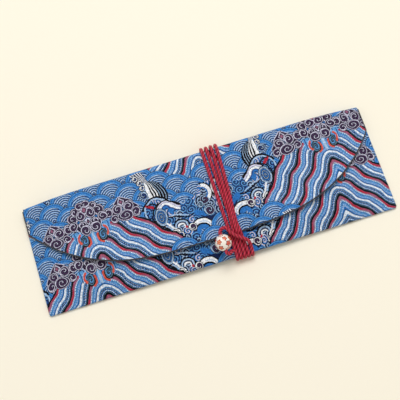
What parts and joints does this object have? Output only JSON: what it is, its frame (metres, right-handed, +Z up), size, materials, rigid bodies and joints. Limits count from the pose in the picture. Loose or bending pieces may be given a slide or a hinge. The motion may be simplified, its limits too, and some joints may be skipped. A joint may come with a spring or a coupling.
{
  "type": "incense stick pouch",
  "caption": "Flat brocade pouch for incense sticks: a curved flap folds over a long pocket, and a wound cord with a china bead holds it shut",
  "frame": {"origin": "Middle of the pouch in plan, on the surface that it lies on", "axes": "+X along the pouch's length, +Y from its bottom fold to its top fold, +Z up, out of the flap side"},
  "size_m": [0.26, 0.0874, 0.0206],
  "materials": {
    "brocade": "woven silk brocade with waves, stripes and clouds",
    "brocade_edge": "turned-in silk brocade",
    "flap_edge": "rolled dark silk edge",
    "interlining": "stiff felted interlining",
    "lining": "plain satin lining",
    "cord": "twisted silky cord",
    "china": "white glaze with small painted flowers"
  },
  "bodies": {
    "pouch": {"back_brocade": "brocade", "back_interlining": "interlining", "back_lining": "lining", "front_brocade": "brocade", "front_interlining": "interlining", "front_lining": "lining", "bottom_fold": "brocade", "left_side_hem": "brocade_edge", "right_side_hem": "brocade_edge", "mouth_hem": "brocade_edge"},
    "top_fold": {"fold_brocade": "brocade", "fold_interlining": "interlining", "fold_lining": "lining"},
    "flap": {"flap_brocade": "brocade", "flap_interlining": "interlining", "flap_lining": "lining", "flap_rolled_edge": "flap_edge"},
    "cord": {"cord_winding": "cord"},
    "bead": {"bead": "china"}
  },
  "joints": [
    {"name": "back_crease", "type": "hinge", "parent": "pouch", "child": "top_fold", "pos_m": [0, 0.0375, 0.005], "axis": [-1, 0, 0], "range_deg": [0, 90], "deforming": ["fold_brocade", "fold_interlining", "fold_lining", "cord_winding"]},
    {"name": "front_crease", "type": "hinge", "parent": "top_fold", "child": "flap", "pos_m": [0, 0.0375, 0.00855], "axis": [-1, 0, 0], "range_deg": [0, 90]},
    {"name": "cord_off", "type": "slide", "parent": "pouch", "child": "cord", "axis": [1, 0, 0], "range_m": [0, 0.15]},
    {"name": "bead_spin", "type": "hinge", "parent": "cord", "child": "bead", "pos_m": [0.0018, -0.0306, 0.01456], "axis": [0, 1, 0], "continuous": true}
  ],
  "couplings": [
    {"joint": "front_crease", "follows": "back_crease", "ratio": 1},
    {"joint": "cord_off", "follows": "back_crease", "m_per_rad": 0.0954}
  ]
}
